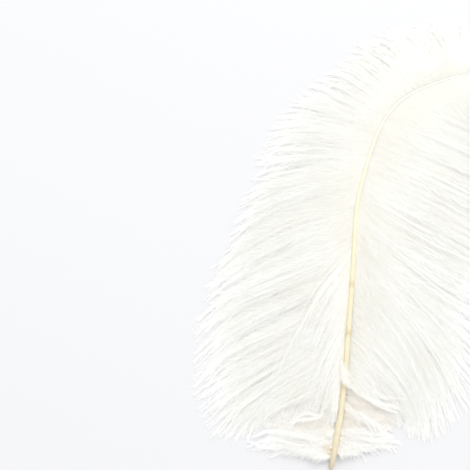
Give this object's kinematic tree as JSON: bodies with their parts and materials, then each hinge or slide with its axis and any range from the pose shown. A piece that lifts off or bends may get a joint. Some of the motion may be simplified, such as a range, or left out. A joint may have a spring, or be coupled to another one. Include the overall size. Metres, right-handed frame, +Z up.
{
  "type": "ostrich feather",
  "caption": "Broad white ostrich plume lying flat: an arched ivory quill with a loose vane of soft barbs on each side, a bent tip, and tufts of down at its bare base.",
  "frame": {"origin": "on the surface that the feather lies on, under the middle of its outline", "axes": "+Z up; +Y from the quill's bare base towards its tip, and the tip bends over to +X"},
  "size_m": [0.26, 0.3162, 0.0168],
  "materials": {
    "quill": "satin",
    "barbs": "soft",
    "down": "soft"
  },
  "bodies": {
    "root": {"quill": "quill", "vane_left": "barbs", "vane_right": "barbs", "down_tuft_left": "down", "down_tuft_right": "down"}
  },
  "joints": []
}
